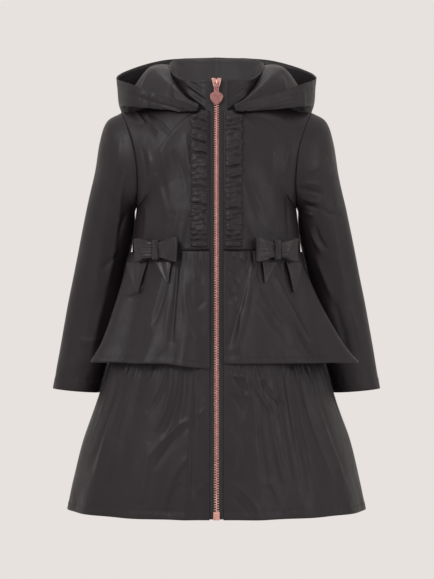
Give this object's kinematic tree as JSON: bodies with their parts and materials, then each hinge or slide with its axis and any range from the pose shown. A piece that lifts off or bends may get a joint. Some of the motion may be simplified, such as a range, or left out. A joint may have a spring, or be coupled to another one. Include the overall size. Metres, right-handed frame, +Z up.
{
  "type": "child's hooded raincoat",
  "caption": "Hooded zip-front raincoat with ruched strips beside the zip, bows at the waist, a peplum and a gathered skirt tier, filled out as worn.",
  "frame": {"origin": "in the middle of the neck opening, between the shoulders, where a wearer's neck and shoulders carry the coat", "axes": "+Z up along the body, -Y out of the coat's front, +X to the right in the picture (the wearer's left)"},
  "size_m": [0.5138, 0.3083, 0.7162],
  "materials": {
    "coat_cloth": "coated woven cloth with a soft sheen",
    "bow_satin": "smooth cloth, glossier than the coat",
    "zip_tape": "matt woven tape",
    "rose_gold": "polished rose gold plate"
  },
  "bodies": {
    "root": {"bodice_back": "coat_cloth", "bodice_front_left": "coat_cloth", "bodice_front_right": "coat_cloth", "bow_left_inner_loop": "bow_satin", "bow_left_inner_tail": "bow_satin", "bow_left_knot": "bow_satin", "bow_left_outer_loop": "bow_satin", "bow_left_outer_tail": "bow_satin", "bow_right_inner_loop": "bow_satin", "bow_right_inner_tail": "bow_satin", "bow_right_knot": "bow_satin", "bow_right_outer_loop": "bow_satin", "bow_right_outer_tail": "bow_satin", "collar": "coat_cloth", "hood_left": "coat_cloth", "hood_right": "coat_cloth", "peplum_back": "coat_cloth", "peplum_front_left": "coat_cloth", "peplum_front_right": "coat_cloth", "ruched_strip_left": "coat_cloth", "ruched_strip_right": "coat_cloth", "skirt_back": "coat_cloth", "skirt_front_left": "coat_cloth", "skirt_front_right": "coat_cloth", "sleeve_left": "coat_cloth", "sleeve_right": "coat_cloth", "yoke_back": "coat_cloth", "yoke_front_left": "coat_cloth", "yoke_front_right": "coat_cloth", "zip_box": "rose_gold", "zip_bridge": "rose_gold", "zip_chain": "rose_gold", "zip_slider": "rose_gold", "zip_tape_left": "zip_tape", "zip_tape_right": "zip_tape"},
    "pull": {"zip_pull_tab": "rose_gold"}
  },
  "joints": [
    {"name": "pull_tab_hinge", "type": "hinge", "parent": "root", "child": "pull", "pos_m": [0, -0.07047, 0.0372], "axis": [-1, 0, 0], "range_deg": [0, 150]}
  ]
}
